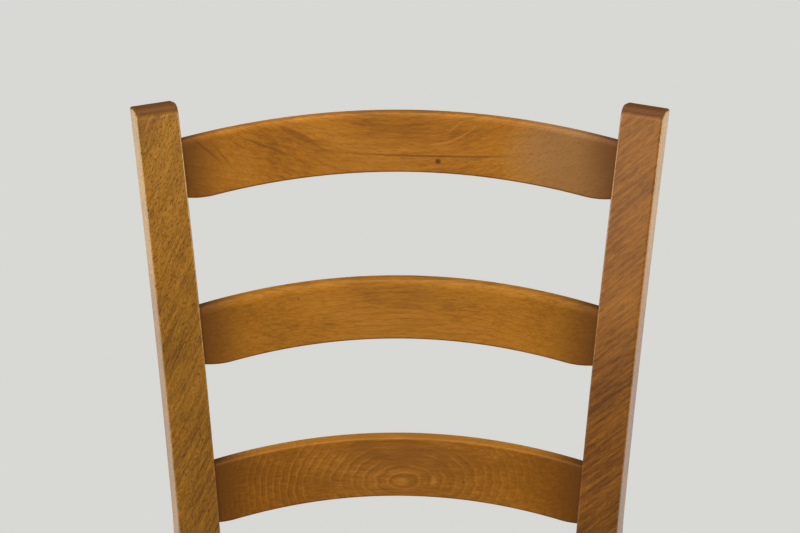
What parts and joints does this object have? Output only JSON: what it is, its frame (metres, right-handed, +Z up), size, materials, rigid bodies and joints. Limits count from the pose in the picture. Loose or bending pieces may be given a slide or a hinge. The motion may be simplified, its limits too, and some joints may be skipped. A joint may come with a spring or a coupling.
{
  "type": "ladderback chair",
  "caption": "Beech ladderback dining chair with splayed, curved back posts, arched slats, a woven rush seat on tenoned rails and stretchers, and plastic foot glides.",
  "frame": {"origin": "on the floor under the middle of the chair's overall box", "axes": "+Z up, +X to the right of someone facing the chair's front, and the chair's front faces -Y"},
  "size_m": [0.4312, 0.4986, 0.8936],
  "materials": {
    "post_beech": "beech stained honey brown, satin lacquer",
    "slat_beech": "steam-bent beech stained honey brown, satin lacquer",
    "rail_beech": "beech stained honey brown, satin lacquer",
    "rush": "twisted rush cord, natural straw colour",
    "glide_plastic": "brown moulded plastic",
    "nail_steel": "plain steel"
  },
  "bodies": {
    "root": {"bottom_slat": "slat_beech", "front_rail": "rail_beech", "front_stretcher": "rail_beech", "glide_nails": "nail_steel", "left_back_post": "post_beech", "left_front_glide": "glide_plastic", "left_front_leg": "post_beech", "left_lower_side_stretcher": "rail_beech", "left_rear_glide": "glide_plastic", "left_side_rail": "rail_beech", "left_upper_side_stretcher": "rail_beech", "middle_slat": "slat_beech", "rear_rail": "rail_beech", "rear_stretcher": "rail_beech", "right_back_post": "post_beech", "right_front_glide": "glide_plastic", "right_front_leg": "post_beech", "right_lower_side_stretcher": "rail_beech", "right_rear_glide": "glide_plastic", "right_side_rail": "rail_beech", "right_upper_side_stretcher": "rail_beech", "top_slat": "slat_beech", "woven_seat": "rush"}
  },
  "joints": []
}
